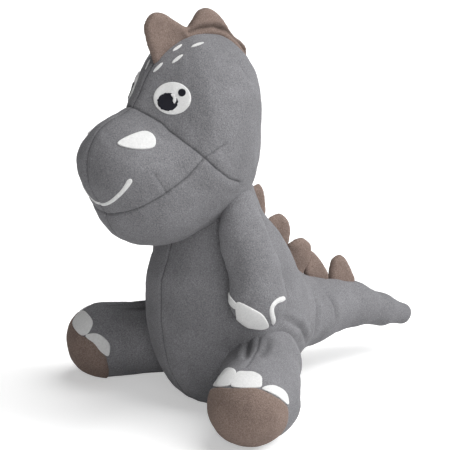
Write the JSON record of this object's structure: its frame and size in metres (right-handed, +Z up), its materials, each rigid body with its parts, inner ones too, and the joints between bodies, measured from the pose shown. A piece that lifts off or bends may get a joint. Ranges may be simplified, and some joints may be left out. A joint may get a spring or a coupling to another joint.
{
  "type": "plush toy dinosaur",
  "caption": "Sitting plush dinosaur with soft stuffed head, arms, legs and tail, a spiked crest and embroidered eyes, for holding, play and display.",
  "frame": {"origin": "centre of the flat seat on the ground under the body", "axes": "+Z up; the toy faces -Y; its left side is +X; the tail points along +Y"},
  "size_m": [0.2116, 0.2797, 0.2726],
  "materials": {
    "grey_fleece": "short soft fleece",
    "brown_fleece": "short soft fleece",
    "white_embroidery": "satin stitch",
    "black_embroidery": "satin stitch",
    "polyester_stuffing": "loose fibre",
    "pellet_bag_cloth": "plain weave"
  },
  "bodies": {
    "torso": {"torso_left_panel": "grey_fleece", "torso_right_panel": "grey_fleece", "seat_panel": "grey_fleece", "torso_stuffing": "polyester_stuffing", "pellet_bag": "pellet_bag_cloth", "nape_spike": "brown_fleece", "back_spike": "brown_fleece"},
    "head": {"head_face_left": "grey_fleece", "head_face_right": "grey_fleece", "muzzle_left": "grey_fleece", "muzzle_right": "grey_fleece", "jaw_panel": "grey_fleece", "head_stuffing": "polyester_stuffing", "head_crest": "brown_fleece", "eye_white_left": "white_embroidery", "eye_white_right": "white_embroidery", "pupil_left": "black_embroidery", "pupil_right": "black_embroidery", "eye_dot_left": "black_embroidery", "eye_dot_right": "black_embroidery", "nostril_left": "white_embroidery", "nostril_right": "white_embroidery", "brow_dash_1_left": "white_embroidery", "brow_dash_1_right": "white_embroidery", "brow_dash_2_left": "white_embroidery", "brow_dash_2_right": "white_embroidery", "brow_dash_3_left": "white_embroidery", "brow_dash_3_right": "white_embroidery", "mouth_line": "white_embroidery"},
    "tail": {"tail_cover": "grey_fleece", "tail_stuffing": "polyester_stuffing", "rump_spike": "brown_fleece", "tail_spike_1": "brown_fleece", "tail_spike_2": "brown_fleece"},
    "arm_left": {"arm_cover_left": "grey_fleece", "arm_stuffing_left": "polyester_stuffing", "claw_1_left": "white_embroidery", "claw_2_left": "white_embroidery", "claw_3_left": "white_embroidery"},
    "leg_left": {"leg_cover_left": "grey_fleece", "sole_left": "brown_fleece", "leg_stuffing_left": "polyester_stuffing", "toe_1_left": "white_embroidery", "toe_2_left": "white_embroidery", "toe_3_left": "white_embroidery"},
    "arm_right": {"arm_cover_right": "grey_fleece", "arm_stuffing_right": "polyester_stuffing", "claw_1_right": "white_embroidery", "claw_2_right": "white_embroidery", "claw_3_right": "white_embroidery"},
    "leg_right": {"leg_cover_right": "grey_fleece", "sole_right": "brown_fleece", "leg_stuffing_right": "polyester_stuffing", "toe_1_right": "white_embroidery", "toe_2_right": "white_embroidery", "toe_3_right": "white_embroidery"}
  },
  "joints": [
    {"name": "head_nod", "type": "hinge", "parent": "torso", "child": "head", "pos_m": [0, -0.0065, 0.1125], "axis": [1, 0, 0], "range_deg": [-10, 6], "stiffness_Nm_per_rad": 0.8},
    {"name": "arm_left_swing", "type": "hinge", "parent": "torso", "child": "arm_left", "pos_m": [0.0375, -0.0175, 0.1305], "axis": [-0.9285, 0, -0.3712], "range_deg": [-30, 40], "stiffness_Nm_per_rad": 0.06},
    {"name": "arm_right_swing", "type": "hinge", "parent": "torso", "child": "arm_right", "pos_m": [-0.0375, -0.0175, 0.1305], "axis": [-0.9285, 0, 0.3712], "range_deg": [-10, 60], "stiffness_Nm_per_rad": 0.06},
    {"name": "leg_left_lift", "type": "hinge", "parent": "torso", "child": "leg_left", "pos_m": [0.041, -0.002, 0.036], "axis": [-1, 0, 0], "range_deg": [0, 15], "stiffness_Nm_per_rad": 0.15},
    {"name": "leg_right_lift", "type": "hinge", "parent": "torso", "child": "leg_right", "pos_m": [-0.041, -0.002, 0.036], "axis": [-1, 0, 0], "range_deg": [0, 15], "stiffness_Nm_per_rad": 0.15},
    {"name": "tail_wag", "type": "hinge", "parent": "torso", "child": "tail", "pos_m": [0, 0.042, 0.052], "axis": [0, 0, 1], "range_deg": [-15, 15], "stiffness_Nm_per_rad": 0.15}
  ]
}
